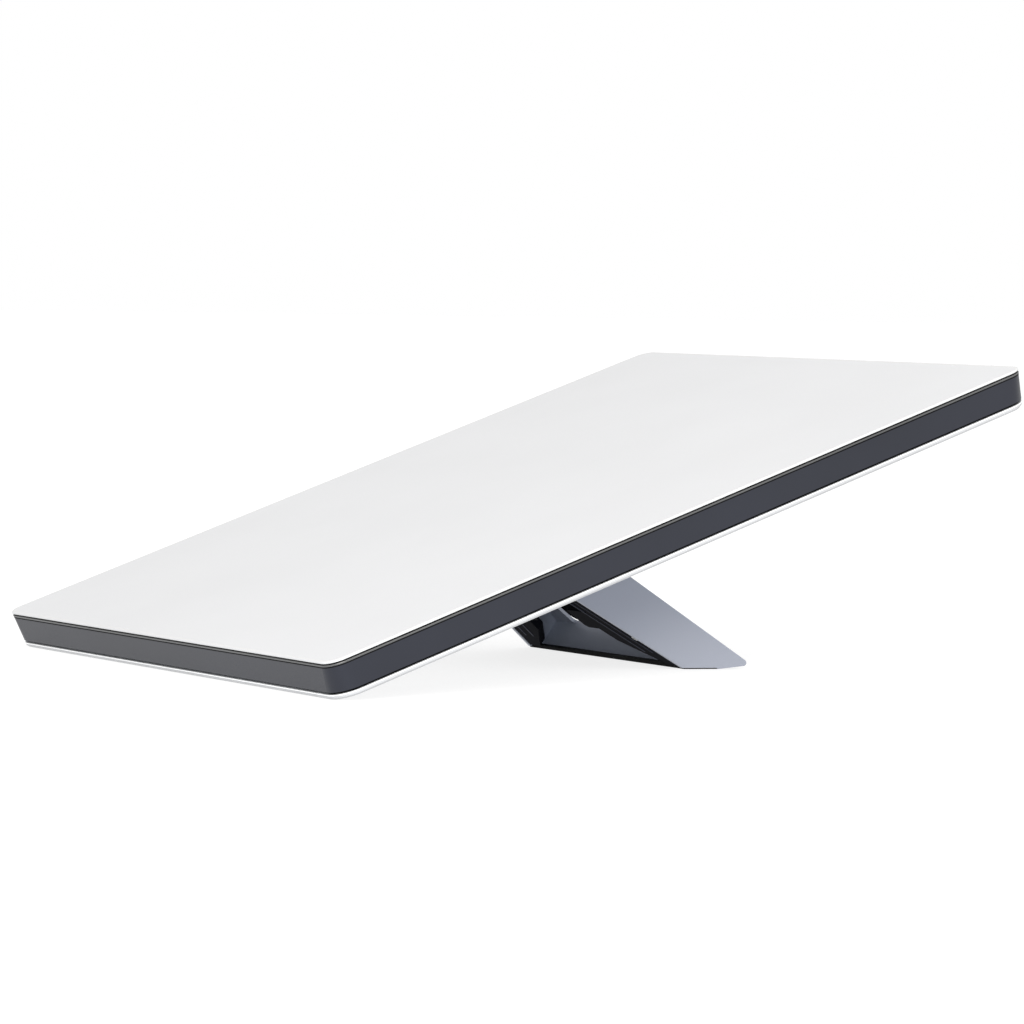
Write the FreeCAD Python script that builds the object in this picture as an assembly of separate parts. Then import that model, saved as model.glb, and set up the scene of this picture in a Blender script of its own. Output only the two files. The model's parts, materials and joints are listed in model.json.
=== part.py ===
import FreeCAD, Part
import math
import os

# Flat panel antenna that leans on its low edge and on a folding kickstand.
# Lengths are millimetres and angles are degrees.
#
# Three frames are used:
#   panel frame  X across, Y up the slope from the low edge, Z out of the front face, 0 at the back
#   leg frame    X across, Y down the leg from the front edge of the foot, Z into the leg's depth
#   row frame    X across, Y level, Z up, origin under the middle of the whole object

# ---------------------------------------------------------------- panel, overall
PANEL_WIDTH = 511.0
PANEL_LENGTH = 594.0
PANEL_EDGE = 28.0
TILT = 19.37
SIDE_TAPER = 1.2
TOP_CORNER_RADIUS = 12.0
BACK_CORNER_RADIUS = 18.0

# ---------------------------------------------------------------- panel, layers from the back
BACK_LIP = 3.7
BACK_FLOOR = 2.4
BACK_RIM = 4.0
BACK_EDGE_CHAMFER = 1.5
GROOVE = 1.7
GROOVE_INSET = 2.4
GASKET_WIDTH = 2.2
COVER_THICKNESS = 1.4
COVER_CHAMFER = 0.4
SEAL_THICKNESS = 1.0
SEAL_INSET = 0.6
SEAL_WIDTH = 4.0
FRAME_WALL = 3.0
FRAME_CHAMFER = 1.4
FRAME_LEDGE = 7.0
FRAME_LEDGE_THICKNESS = 2.0
CORE_THICKNESS = 4.7
FILM_THICKNESS = 0.4
PATCH_THICKNESS = 0.3
PATCH_RADIUS = 11.0
PATCH_PITCH = 30.0
SPACER_THICKNESS = 2.0
SPACER_BAR = 4.0
BOARD_THICKNESS = 1.6
CHIP_SIZE = 9.0
CHIP_THICKNESS = 1.0
PAD_THICKNESS = 0.5
SPREADER_THICKNESS = 2.5
BOARD_INSET = 6.0
SPREADER_INSET = 4.2

# ---------------------------------------------------------------- fasteners of the back
SCREW_RADIUS = 1.4
SCREW_HEAD_RADIUS = 2.6
SCREW_HEAD_THICKNESS = 1.3
SCREW_CLEARANCE = 0.15
BOSS_RADIUS = 4.0
SCREW_EDGE_DISTANCE = 26.0
SCREW_ROWS = 5

# ---------------------------------------------------------------- shield can, receiver, vent
CAN_WIDTH = 64.0
CAN_LENGTH = 46.0
CAN_HEIGHT = 5.6
CAN_WALL = 0.8
CAN_X = -120.0
CAN_Y = 150.0
RECEIVER_SIZE = 18.0
RECEIVER_HEIGHT = 3.0
RECEIVER_X = PANEL_WIDTH / 2 - 100.0
RECEIVER_Y = PANEL_LENGTH - 49.0
WINDOW_CLEARANCE = 1.0
VENT_RADIUS = 4.5
VENT_STEM_RADIUS = 3.0
VENT_HEAD = 0.8
VENT_X = PANEL_WIDTH / 2 - 60.0
VENT_Y = PANEL_LENGTH - 94.0

# ---------------------------------------------------------------- hinge and quick-release hub
HINGE_Y = 277.7
RIM_TO_AXIS = 12.0
AXIS_DROP = RIM_TO_AXIS + 0.3
HUB_HALF_WIDTH = 50.0
PIN_RADIUS = 4.0
HUB_BACK = 24.0
HUB_FRONT = 26.0
HUB_PLATE = 3.0
HUB_GASKET = 0.6
HUB_CORNER = 6.0
LUG_INNER = HUB_HALF_WIDTH - 12.0
KNUCKLE_RADIUS = PIN_RADIUS + 5.5
CENTRE_WALL = HUB_HALF_WIDTH - 35.0
TUBE_RADIUS = PIN_RADIUS + 3.2
TUBE_BORE = PIN_RADIUS + 0.7
HUB_SCREW_X = HUB_HALF_WIDTH - 7.0
HUB_SCREW_EDGE = 6.0
RUNNING_CLEARANCE = 0.05
PIN_INNER_END = HUB_HALF_WIDTH - 21.5
PIN_END_RECESS = 0.8
PIN_TRAVEL = 8.8
STEM_RADIUS = 1.6
STEM_LENGTH = 4.0
SPRING_RADIUS = PIN_RADIUS - 0.6
SPRING_WIRE = 0.35
SPRING_TURNS = 5.0
TAB_START = HUB_HALF_WIDTH - 20.5
TAB_LENGTH = 6.0
TAB_HALF_STEM = 2.2
TAB_SLOT_CLEARANCE = 0.4
TAB_HALF_HEAD = 6.0
TAB_HEAD_TOP = PIN_RADIUS + 4.6
TAB_HEAD_BOTTOM = PIN_RADIUS + 10.0
PEG_RADIUS = 1.5
PEG_DEPTH = 2.5

# ---------------------------------------------------------------- rear housing with the cable port
HOUSING_WIDTH = 210.0
HOUSING_LENGTH = 150.0
HOUSING_HEIGHT = 14.0
HOUSING_START = HINGE_Y + 46.0
HOUSING_DRAFT = 4.0
HOUSING_RADIUS = 16.0
HOUSING_WALL = 3.0
HOUSING_FLOOR = 4.5
HOUSING_GASKET = 0.6
GASKET_EDGE = 1.0
FIN_SLOT = 4.0
FIN_PITCH = 9.0
FIN_DEPTH = 2.2
FIN_MARGIN = 16.0
MODULE_WIDTH = 70.0
MODULE_LENGTH = 80.0
MODULE_HEIGHT = 9.0
MODULE_X = HOUSING_WIDTH / 2 - 54.0
PORT_X = -HOUSING_WIDTH / 2 + 40.0
PORT_FROM_START = 50.0
PORT_MOUTH_WIDTH = 22.0
PORT_MOUTH_LENGTH = 13.0
PORT_WALL = 2.0
PORT_CLEARANCE = 0.4
PORT_RADIUS = 3.0
PORT_DEPTH = 11.0
PORT_COLLAR = 1.2
CONTACT_COUNT = 8
CONTACT_PITCH = 2.0
CONTACT_RADIUS = 0.5
CONTACT_LENGTH = 4.0

# ---------------------------------------------------------------- kickstand
LEAN = 34.66
FOOT_HALF_WIDTH = 109.9
FLARE = 0.39
BACK_DEPTH = 32.2
BACK_SLOPE = 0.063
SIDE_WALL = 3.0
BACK_WALL = 2.5
HEEL_RADIUS = 8.0
TOE_RADIUS = 2.5
FOOT_EDGE_RADIUS = 1.0
TOE_FLAT = 24.5
TOE_RISE = 6.5
TOE_FLOOR = 2.5
SOLE_END = TOE_FLAT - 1.0
TOE_WALL_POSITION = 8.0
TOE_WALL = 2.5
EAR_INNER = HUB_HALF_WIDTH + 2.3
SLOT_WIDTH = 9.0
SLOT_HALF_WIDTH = 84.0
SLOT_ARM = 24.0
SLOT_CORNER = 8.0
BUSH_RADIUS = PIN_RADIUS + 2.0
BUSH_LENGTH = 7.6
WASHER_RADIUS = PIN_RADIUS + 3.5
WASHER_GAP = 0.2
PAD_SOLE = 0.8
PAD_PLATE = 2.4
PAD_MARGIN = 0.6
LINER_THICKNESS = 2.0
LINER_HALF_WIDTH = 70.0
RAIL_TOP = 0.6
RAIL_DEPTH = 7.0
RAIL_GAP = 0.3
RAIL_FOOT_WIDTH = 15.0
RAIL_WIDTH = 38.0
RAIL_START = 3.0
RAIL_WIDEN_AT = 30.0
RAIL_POCKET = 6.5
RAIL_POCKET_PITCH = 9.5
RAIL_POCKET_DEPTH = 4.5
RAIL_RIB = 2.2
RAIL_BOSS_DEPTH = 8.0
BLOCK_START = 45.0
BLOCK_END = 68.0
BLOCK_INNER = 34.0
BLOCK_DEPTH = 14.0
BLOCK_RADIUS = 4.0

# ---------------------------------------------------------------- worked out from the values above
COVER_BOTTOM = PANEL_EDGE - COVER_THICKNESS
SEAL_BOTTOM = COVER_BOTTOM - SEAL_THICKNESS
FRAME_BOTTOM = BACK_LIP + GROOVE
CORE_BOTTOM = COVER_BOTTOM - CORE_THICKNESS
FILM_BOTTOM = CORE_BOTTOM - FILM_THICKNESS
PATCH_BOTTOM = FILM_BOTTOM - PATCH_THICKNESS
SPACER_BOTTOM = PATCH_BOTTOM - SPACER_THICKNESS
BOARD_BOTTOM = SPACER_BOTTOM - BOARD_THICKNESS
CHIP_BOTTOM = BOARD_BOTTOM - CHIP_THICKNESS
PAD_BOTTOM = CHIP_BOTTOM - PAD_THICKNESS
SPREADER_BOTTOM = PAD_BOTTOM - SPREADER_THICKNESS
HOUSING_END = HOUSING_START + HOUSING_LENGTH
HOUSING_MIDDLE = HOUSING_START + HOUSING_LENGTH / 2
PORT_Y = HOUSING_START + PORT_FROM_START
SCREW_BORE = SCREW_RADIUS + SCREW_CLEARANCE
LUG_BORE = PIN_RADIUS + RUNNING_CLEARANCE
OPEN_ANGLE = TILT + LEAN

LOW_CONTACT = SIDE_TAPER + BACK_EDGE_CHAMFER
TILT_SIN = math.sin(math.radians(TILT))
TILT_COS = math.cos(math.radians(TILT))
LEAN_SIN = math.sin(math.radians(LEAN))
LEAN_COS = math.cos(math.radians(LEAN))
AXIS_LEVEL_Y = HINGE_Y * TILT_COS + AXIS_DROP * TILT_SIN
AXIS_HEIGHT = (HINGE_Y - LOW_CONTACT) * TILT_SIN - AXIS_DROP * TILT_COS
LEG_REACH = (AXIS_HEIGHT - RIM_TO_AXIS * LEAN_COS) / LEAN_SIN
FOOT_LEVEL_Y = AXIS_LEVEL_Y + LEG_REACH * LEAN_COS - RIM_TO_AXIS * LEAN_SIN
EAR_START = LEG_REACH - 16.8
NOTCH_START = LEG_REACH - 22.8
LINER_END = NOTCH_START - 4.0
RAIL_END = NOTCH_START - 6.0
RAIL_SCREW_AT = (BLOCK_START - 9.0, RAIL_END - 8.0)

X_AXIS = FreeCAD.Vector(1, 0, 0)
Z_AXIS = FreeCAD.Vector(0, 0, 1)
ORIGIN = FreeCAD.Vector(0, 0, 0)


# ================================================================ small helpers
def box(x0, x1, y0, y1, z0, z1):
    """A box between two opposite corners."""
    return Part.makeBox(x1 - x0, y1 - y0, z1 - z0, FreeCAD.Vector(x0, y0, z0))


def cylinder(radius, start, length, direction):
    """A cylinder from a start point along a direction."""
    return Part.makeCylinder(radius, length, FreeCAD.Vector(*start), direction)


def ring(outer, inner, start, length, direction):
    """A tube from a start point along a direction."""
    return cylinder(outer, start, length, direction).cut(cylinder(inner, start, length, direction))


def union(shapes):
    """One solid from touching or overlapping shapes."""
    shapes = list(shapes)
    if len(shapes) == 1:
        return shapes[0]
    return shapes[0].multiFuse(shapes[1:]).removeSplitter()


def cut_all(shape, tools):
    """The shape with every tool taken away."""
    tools = list(tools)
    return shape.cut(Part.makeCompound(tools)) if tools else shape


def mirrored(shape):
    """The same shape on the other side of the middle plane."""
    return shape.mirror(ORIGIN, X_AXIS)


def rounded_wire(corners):
    """A closed wire through (point, radius) corners, each corner rounded by a tangent arc."""
    edges = []
    starts = []
    ends = []
    middles = []
    count = len(corners)
    for index, (point, radius) in enumerate(corners):
        before = (corners[index - 1][0] - point).normalize()
        after = (corners[(index + 1) % count][0] - point).normalize()
        half_angle = before.getAngle(after) / 2
        reach = radius / math.tan(half_angle)
        bisector = (before + after).normalize()
        starts.append(point + before * reach)
        ends.append(point + after * reach)
        middles.append(point + bisector * (radius / math.sin(half_angle) - radius))
    for index in range(count):
        if corners[index][1] > 0:
            edges.append(Part.Arc(starts[index], middles[index], ends[index]).toShape())
        following = (index + 1) % count
        if ends[index].distanceToPoint(starts[following]) > 1e-6:
            edges.append(Part.LineSegment(ends[index], starts[following]).toShape())
    return Part.Wire(edges)


def rounded_rectangle(x0, x1, y0, y1, z, radius):
    """A level rounded rectangle."""
    points = ((x0, y0), (x1, y0), (x1, y1), (x0, y1))
    return rounded_wire([(FreeCAD.Vector(x, y, z), radius) for x, y in points])


def rounded_block(x0, x1, y0, y1, z0, z1, radius):
    """A block with rounded upright edges."""
    face = Part.Face(rounded_rectangle(x0, x1, y0, y1, z0, radius))
    return face.extrude(FreeCAD.Vector(0, 0, z1 - z0))


def drafted_block(low, high, z0, z1):
    """A block between two rounded rectangles given as (x0, x1, y0, y1, radius)."""
    wires = []
    for (x0, x1, y0, y1, radius), z in ((low, z0), (high, z1)):
        wires.append(rounded_rectangle(x0, x1, y0, y1, z, radius))
    return Part.makeLoft(wires, True, True)


def panel_outline(z, inset=0.0):
    """The panel's outline at a height, drawn in by an inset."""
    share = 1 - z / PANEL_EDGE
    taper = SIDE_TAPER * share + inset
    radius = TOP_CORNER_RADIUS + (BACK_CORNER_RADIUS - TOP_CORNER_RADIUS) * share
    radius = max(radius - inset, 1.0)
    half = PANEL_WIDTH / 2 - taper
    return rounded_rectangle(-half, half, taper, PANEL_LENGTH - taper, z, radius)


def panel_slab(z0, z1, inset0=0.0, inset1=None):
    """A layer of the panel between two heights."""
    inset1 = inset0 if inset1 is None else inset1
    return Part.makeLoft([panel_outline(z0, inset0), panel_outline(z1, inset1)], True, True)


def panel_ring(z0, z1, inset, width):
    """A frame-shaped layer of the panel."""
    return panel_slab(z0, z1, inset).cut(panel_slab(z0 - 0.01, z1 + 0.01, inset + width))


# ================================================================ screw places
def cover_screw_places():
    """Two long rows and one screw in the middle of each short side."""
    side = PANEL_WIDTH / 2 - SCREW_EDGE_DISTANCE
    step = (PANEL_LENGTH - 2 * SCREW_EDGE_DISTANCE) / (SCREW_ROWS - 1)
    places = []
    for row in range(SCREW_ROWS):
        for x in (-side, side):
            places.append((x, SCREW_EDGE_DISTANCE + row * step))
    places.append((0.0, SCREW_EDGE_DISTANCE))
    places.append((0.0, PANEL_LENGTH - SCREW_EDGE_DISTANCE))
    return places


def hub_screw_places():
    """The corners of the hub's plate."""
    rows = (HINGE_Y - HUB_BACK + HUB_SCREW_EDGE, HINGE_Y + HUB_FRONT - HUB_SCREW_EDGE)
    return [(x, y) for y in rows for x in (-HUB_SCREW_X, HUB_SCREW_X)]


def housing_screw_places():
    """The corners inside the rear housing."""
    side = HOUSING_WIDTH / 2 - HOUSING_DRAFT - HOUSING_WALL - BOSS_RADIUS
    rows = (HOUSING_START + HOUSING_DRAFT + HOUSING_WALL + BOSS_RADIUS,
            HOUSING_END - HOUSING_DRAFT - HOUSING_WALL - BOSS_RADIUS)
    return [(x, y) for y in rows for x in (-side, side)]


def screw(x, y, head_bottom, length):
    """A pan-head screw that points up out of the back."""
    head = cylinder(SCREW_HEAD_RADIUS, (x, y, head_bottom), SCREW_HEAD_THICKNESS, Z_AXIS)
    shank = cylinder(SCREW_RADIUS, (x, y, head_bottom), length, Z_AXIS)
    slot = box(x - 1.7, x + 1.7, y - 0.4, y + 0.4, head_bottom - 0.1, head_bottom + 0.6)
    cross = box(x - 0.4, x + 0.4, y - 1.7, y + 1.7, head_bottom - 0.1, head_bottom + 0.6)
    return union((head, shank)).cut(slot).cut(cross)


def screw_hole(x, y, bottom, top):
    """The hole that a screw's shank passes through."""
    return cylinder(SCREW_BORE, (x, y, bottom), top - bottom, Z_AXIS)


def head_recess(x, y, bottom):
    """The sunk seat of a screw head."""
    radius = SCREW_HEAD_RADIUS + 2 * SCREW_CLEARANCE
    return cylinder(radius, (x, y, bottom - 0.1), SCREW_HEAD_THICKNESS + 0.3, Z_AXIS)


# ================================================================ panel, front layers
def make_radome_cover():
    plain = panel_slab(COVER_BOTTOM, PANEL_EDGE - COVER_CHAMFER)
    return union((plain, panel_slab(PANEL_EDGE - COVER_CHAMFER, PANEL_EDGE, 0.0, COVER_CHAMFER)))


def make_radome_seal():
    return panel_ring(SEAL_BOTTOM, COVER_BOTTOM, SEAL_INSET, SEAL_WIDTH)


def make_side_frame():
    straight = panel_slab(FRAME_BOTTOM, SEAL_BOTTOM - FRAME_CHAMFER)
    shoulder = panel_slab(SEAL_BOTTOM - FRAME_CHAMFER, SEAL_BOTTOM, 0.0, FRAME_CHAMFER)
    ledge_top = SPREADER_BOTTOM
    ledge_bottom = ledge_top - FRAME_LEDGE_THICKNESS
    frame = union((straight, shoulder))
    frame = frame.cut(panel_slab(ledge_top, SEAL_BOTTOM + 1, FRAME_WALL))
    frame = frame.cut(panel_slab(FRAME_BOTTOM - 1, ledge_bottom, FRAME_WALL))
    return frame.cut(panel_slab(ledge_bottom - 1, ledge_top + 1, FRAME_WALL + FRAME_LEDGE))


def make_radome_core():
    return panel_slab(CORE_BOTTOM, COVER_BOTTOM, BOARD_INSET)


def make_patch_film():
    return panel_slab(FILM_BOTTOM, CORE_BOTTOM, BOARD_INSET)


def patch_places():
    """A grid of patches centred on the panel."""
    columns = int((PANEL_WIDTH - 2 * BOARD_INSET - 2 * PATCH_RADIUS) // PATCH_PITCH) + 1
    rows = int((PANEL_LENGTH - 2 * BOARD_INSET - 2 * PATCH_RADIUS) // PATCH_PITCH) + 1
    left = -(columns - 1) * PATCH_PITCH / 2
    low = PANEL_LENGTH / 2 - (rows - 1) * PATCH_PITCH / 2
    return [(left + i * PATCH_PITCH, low + j * PATCH_PITCH) for i in range(columns) for j in range(rows)]


def make_antenna_patches():
    discs = []
    for x, y in patch_places():
        discs.append(cylinder(PATCH_RADIUS, (x, y, PATCH_BOTTOM), PATCH_THICKNESS, Z_AXIS))
    return Part.makeCompound(discs)


def make_patch_spacer():
    ring_part = panel_ring(SPACER_BOTTOM, PATCH_BOTTOM, BOARD_INSET, 2 * SPACER_BAR)
    half = PANEL_WIDTH / 2 - BOARD_INSET - SIDE_TAPER - SPACER_BAR
    low = BOARD_INSET + SIDE_TAPER + SPACER_BAR
    high = PANEL_LENGTH - low
    bars = [ring_part]
    for share in (0.25, 0.5, 0.75):
        y = low + (high - low) * share
        bars.append(box(-half, half, y - SPACER_BAR / 2, y + SPACER_BAR / 2, SPACER_BOTTOM, PATCH_BOTTOM))
    bars.append(box(-SPACER_BAR / 2, SPACER_BAR / 2, low, high, SPACER_BOTTOM, PATCH_BOTTOM))
    return union(bars)


def make_main_board():
    return panel_slab(BOARD_BOTTOM, SPACER_BOTTOM, BOARD_INSET)


def chip_places():
    """Chips on every second patch, clear of the can, the receiver and the screws."""
    places = []
    for index, (x, y) in enumerate(patch_places()):
        beside_can = abs(x - CAN_X) < CAN_WIDTH / 2 + CHIP_SIZE
        near_can = beside_can and abs(y - CAN_Y) < CAN_LENGTH / 2 + CHIP_SIZE
        near_receiver = max(abs(x - RECEIVER_X), abs(y - RECEIVER_Y)) < RECEIVER_SIZE / 2 + CHIP_SIZE
        if index % 2 == 0 and not near_can and not near_receiver:
            places.append((x, y))
    return places


def make_chip_layer(size, bottom, thickness):
    half = size / 2
    blocks = []
    for x, y in chip_places():
        blocks.append(box(x - half, x + half, y - half, y + half, bottom, bottom + thickness))
    return Part.makeCompound(blocks)


def make_shield_can():
    x0 = CAN_X - CAN_WIDTH / 2
    x1 = CAN_X + CAN_WIDTH / 2
    y0 = CAN_Y - CAN_LENGTH / 2
    y1 = CAN_Y + CAN_LENGTH / 2
    outer = rounded_block(x0, x1, y0, y1, BOARD_BOTTOM - CAN_HEIGHT, BOARD_BOTTOM, 3.0)
    inner = rounded_block(x0 + CAN_WALL, x1 - CAN_WALL, y0 + CAN_WALL, y1 - CAN_WALL,
                          BOARD_BOTTOM - CAN_HEIGHT + CAN_WALL, BOARD_BOTTOM + 1, 3.0 - CAN_WALL)
    return outer.cut(inner)


def make_gps_module():
    half = RECEIVER_SIZE / 2
    return rounded_block(RECEIVER_X - half, RECEIVER_X + half, RECEIVER_Y - half, RECEIVER_Y + half,
                         BOARD_BOTTOM - RECEIVER_HEIGHT, BOARD_BOTTOM, 2.0)


def make_heat_spreader():
    top = PAD_BOTTOM
    gap = WINDOW_CLEARANCE
    half_x = CAN_WIDTH / 2 + gap
    half_y = CAN_LENGTH / 2 + gap
    half = RECEIVER_SIZE / 2 + gap
    tools = [
        rounded_block(CAN_X - half_x, CAN_X + half_x, CAN_Y - half_y, CAN_Y + half_y,
                      SPREADER_BOTTOM - 1, top + 1, 3.0),
        rounded_block(RECEIVER_X - half, RECEIVER_X + half, RECEIVER_Y - half, RECEIVER_Y + half,
                      SPREADER_BOTTOM - 1, top + 1, 2.0),
    ]
    for x, y in cover_screw_places():
        tools.append(screw_hole(x, y, SPREADER_BOTTOM - 1, top + 1))
    return cut_all(panel_slab(SPREADER_BOTTOM, top, SPREADER_INSET), tools)


# ================================================================ panel, back
def housing_window():
    """The opening in the back cover that leads into the rear housing."""
    return rounded_block(-HOUSING_WIDTH / 4, HOUSING_WIDTH / 4, HOUSING_MIDDLE - HOUSING_LENGTH / 4,
                         HOUSING_MIDDLE + HOUSING_LENGTH / 4, -1, BACK_FLOOR + 1, 6.0)


def make_back_cover():
    edge = panel_slab(0, BACK_EDGE_CHAMFER, BACK_EDGE_CHAMFER, 0.0)
    body = union((edge, panel_slab(BACK_EDGE_CHAMFER, BACK_LIP)))
    body = body.cut(panel_slab(BACK_FLOOR, BACK_LIP + 1, BACK_RIM))
    bosses = [body]
    screw_places = cover_screw_places() + hub_screw_places() + housing_screw_places()
    for x, y in screw_places:
        bosses.append(cylinder(BOSS_RADIUS, (x, y, BACK_FLOOR / 2), SPREADER_BOTTOM - BACK_FLOOR / 2, Z_AXIS))
    body = union(bosses)
    tools = [housing_window()]
    for x, y in cover_screw_places():
        tools.append(screw_hole(x, y, -1, SPREADER_BOTTOM + 1))
        tools.append(head_recess(x, y, 0.0))
    blind_top = SPREADER_BOTTOM - 0.8
    for x, y in hub_screw_places() + housing_screw_places():
        tools.append(screw_hole(x, y, -1, blind_top))
    tools.append(cylinder(VENT_STEM_RADIUS, (VENT_X, VENT_Y, -1), BACK_FLOOR + 2, Z_AXIS))
    return cut_all(body, tools)


def make_cover_screws():
    length = PAD_BOTTOM - 0.4 - 0.2
    return Part.makeCompound([screw(x, y, 0.2, length) for x, y in cover_screw_places()])


def make_back_gasket():
    return panel_ring(BACK_LIP, FRAME_BOTTOM, GROOVE_INSET, GASKET_WIDTH)


def make_vent_plug():
    head = cylinder(VENT_RADIUS, (VENT_X, VENT_Y, -VENT_HEAD), VENT_HEAD, Z_AXIS)
    stem_length = VENT_HEAD / 2 + BACK_FLOOR + 1
    stem = cylinder(VENT_STEM_RADIUS, (VENT_X, VENT_Y, -VENT_HEAD / 2), stem_length, Z_AXIS)
    hole = cylinder(VENT_STEM_RADIUS / 2, (VENT_X, VENT_Y, 0.4), BACK_FLOOR + 2, Z_AXIS)
    return union((head, stem)).cut(hole)


# ================================================================ rear housing
def housing_outline(inset):
    """The housing's outline as (x0, x1, y0, y1, radius), drawn in by an inset."""
    half = HOUSING_WIDTH / 2 - inset
    return -half, half, HOUSING_START + inset, HOUSING_END - inset, HOUSING_RADIUS - inset


def port_block(margin, z0, z1):
    """The space of the port socket, grown by a margin."""
    half_x = PORT_MOUTH_WIDTH / 2 + PORT_WALL + margin
    half_y = PORT_MOUTH_LENGTH / 2 + PORT_WALL + margin
    return rounded_block(PORT_X - half_x, PORT_X + half_x, PORT_Y - half_y, PORT_Y + half_y,
                         z0, z1, PORT_RADIUS + PORT_WALL + margin)


def make_rear_housing():
    top = -HOUSING_GASKET
    bottom = -HOUSING_HEIGHT
    outer = drafted_block(housing_outline(HOUSING_DRAFT), housing_outline(0), bottom, top)
    inner_low = housing_outline(HOUSING_DRAFT + HOUSING_WALL)
    inner_high = housing_outline(HOUSING_WALL)
    shell = outer.cut(drafted_block(inner_low, inner_high, bottom + HOUSING_FLOOR, top + 0.01))
    posts = [shell]
    for x, y in housing_screw_places():
        post_bottom = bottom + HOUSING_FLOOR / 2
        posts.append(cylinder(BOSS_RADIUS, (x, y, post_bottom), top - post_bottom, Z_AXIS))
    shell = union(posts)
    tools = [port_block(PORT_CLEARANCE, bottom - 1, bottom + HOUSING_FLOOR + 1)]
    for x, y in housing_screw_places():
        tools.append(screw_hole(x, y, bottom - 1, top + 1))
        tools.append(head_recess(x, y, bottom))
    tools += fin_slots(bottom)
    return cut_all(shell, tools)


def fin_slots(bottom):
    """Grooves along the housing's outer face, beside the port."""
    x0 = PORT_X + PORT_MOUTH_WIDTH / 2 + PORT_WALL + FIN_MARGIN / 2
    x1 = HOUSING_WIDTH / 2 - HOUSING_DRAFT - FIN_MARGIN
    count = int((HOUSING_LENGTH - 2 * (HOUSING_DRAFT + FIN_MARGIN)) // FIN_PITCH)
    first = HOUSING_MIDDLE - (count - 1) * FIN_PITCH / 2
    slots = []
    for index in range(count):
        y = first + index * FIN_PITCH
        slots.append(rounded_block(x0, x1, y - FIN_SLOT / 2, y + FIN_SLOT / 2,
                                   bottom - 1, bottom + FIN_DEPTH, FIN_SLOT / 2 - 0.01))
    return slots


def make_housing_gasket():
    x0, x1, y0, y1, radius = housing_outline(GASKET_EDGE)
    outer = rounded_block(x0, x1, y0, y1, -HOUSING_GASKET, 0, radius)
    x0, x1, y0, y1, radius = housing_outline(HOUSING_WALL)
    inner = rounded_block(x0, x1, y0, y1, -HOUSING_GASKET - 1, 1, radius)
    return outer.cut(inner)


def make_housing_screws():
    length = HOUSING_HEIGHT + SPREADER_BOTTOM - 2.0
    screws = [screw(x, y, -HOUSING_HEIGHT + 0.2, length) for x, y in housing_screw_places()]
    return Part.makeCompound(screws)


def make_power_module():
    half_x = MODULE_WIDTH / 2
    half_y = MODULE_LENGTH / 2
    bottom = -HOUSING_HEIGHT + HOUSING_FLOOR
    base = rounded_block(MODULE_X - half_x, MODULE_X + half_x, HOUSING_MIDDLE - half_y,
                         HOUSING_MIDDLE + half_y, bottom, bottom + BOARD_THICKNESS, 3.0)
    can = rounded_block(MODULE_X - half_x + 5, MODULE_X + half_x - 5, HOUSING_MIDDLE - half_y + 8,
                        HOUSING_MIDDLE + half_y - 8, bottom + BOARD_THICKNESS / 2,
                        bottom + MODULE_HEIGHT, 5.0)
    return union((base, can))


def make_port_socket():
    bottom = -HOUSING_HEIGHT
    deep = bottom + PORT_DEPTH
    body = port_block(0.0, bottom, deep + PORT_WALL)
    collar = port_block(PORT_WALL, bottom + HOUSING_FLOOR + 0.2, bottom + HOUSING_FLOOR + 0.2 + PORT_COLLAR)
    half_x = PORT_MOUTH_WIDTH / 2
    half_y = PORT_MOUTH_LENGTH / 2
    mouth = rounded_block(PORT_X - half_x, PORT_X + half_x, PORT_Y - half_y, PORT_Y + half_y,
                          bottom - 1, deep, PORT_RADIUS)
    tools = [mouth]
    for x in contact_places():
        tools.append(cylinder(CONTACT_RADIUS, (x, PORT_Y, deep - 1), PORT_WALL + 2, Z_AXIS))
    return cut_all(union((body, collar)), tools)


def contact_places():
    """One row of contacts across the port."""
    first = PORT_X - (CONTACT_COUNT - 1) * CONTACT_PITCH / 2
    return [first + index * CONTACT_PITCH for index in range(CONTACT_COUNT)]


def make_port_contacts():
    deep = -HOUSING_HEIGHT + PORT_DEPTH
    length = CONTACT_LENGTH + PORT_WALL
    start = deep - CONTACT_LENGTH
    pins = [cylinder(CONTACT_RADIUS, (x, PORT_Y, start), length, Z_AXIS) for x in contact_places()]
    return Part.makeCompound(pins)


def make_port_seal():
    bottom = -HOUSING_HEIGHT + 0.6
    top = bottom + HOUSING_FLOOR - 1.2
    return port_block(PORT_CLEARANCE, bottom, top).cut(port_block(0.0, bottom - 1, top + 1))


# ================================================================ hub and release pins
def knuckle(x0, x1):
    """A lug that hangs from the hub's plate and rounds off about the hinge axis."""
    upright = box(x0, x1, HINGE_Y - KNUCKLE_RADIUS, HINGE_Y + KNUCKLE_RADIUS, -AXIS_DROP, -HUB_GASKET)
    return union((upright, cylinder(KNUCKLE_RADIUS, (x0, HINGE_Y, -AXIS_DROP), x1 - x0, X_AXIS)))


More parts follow.
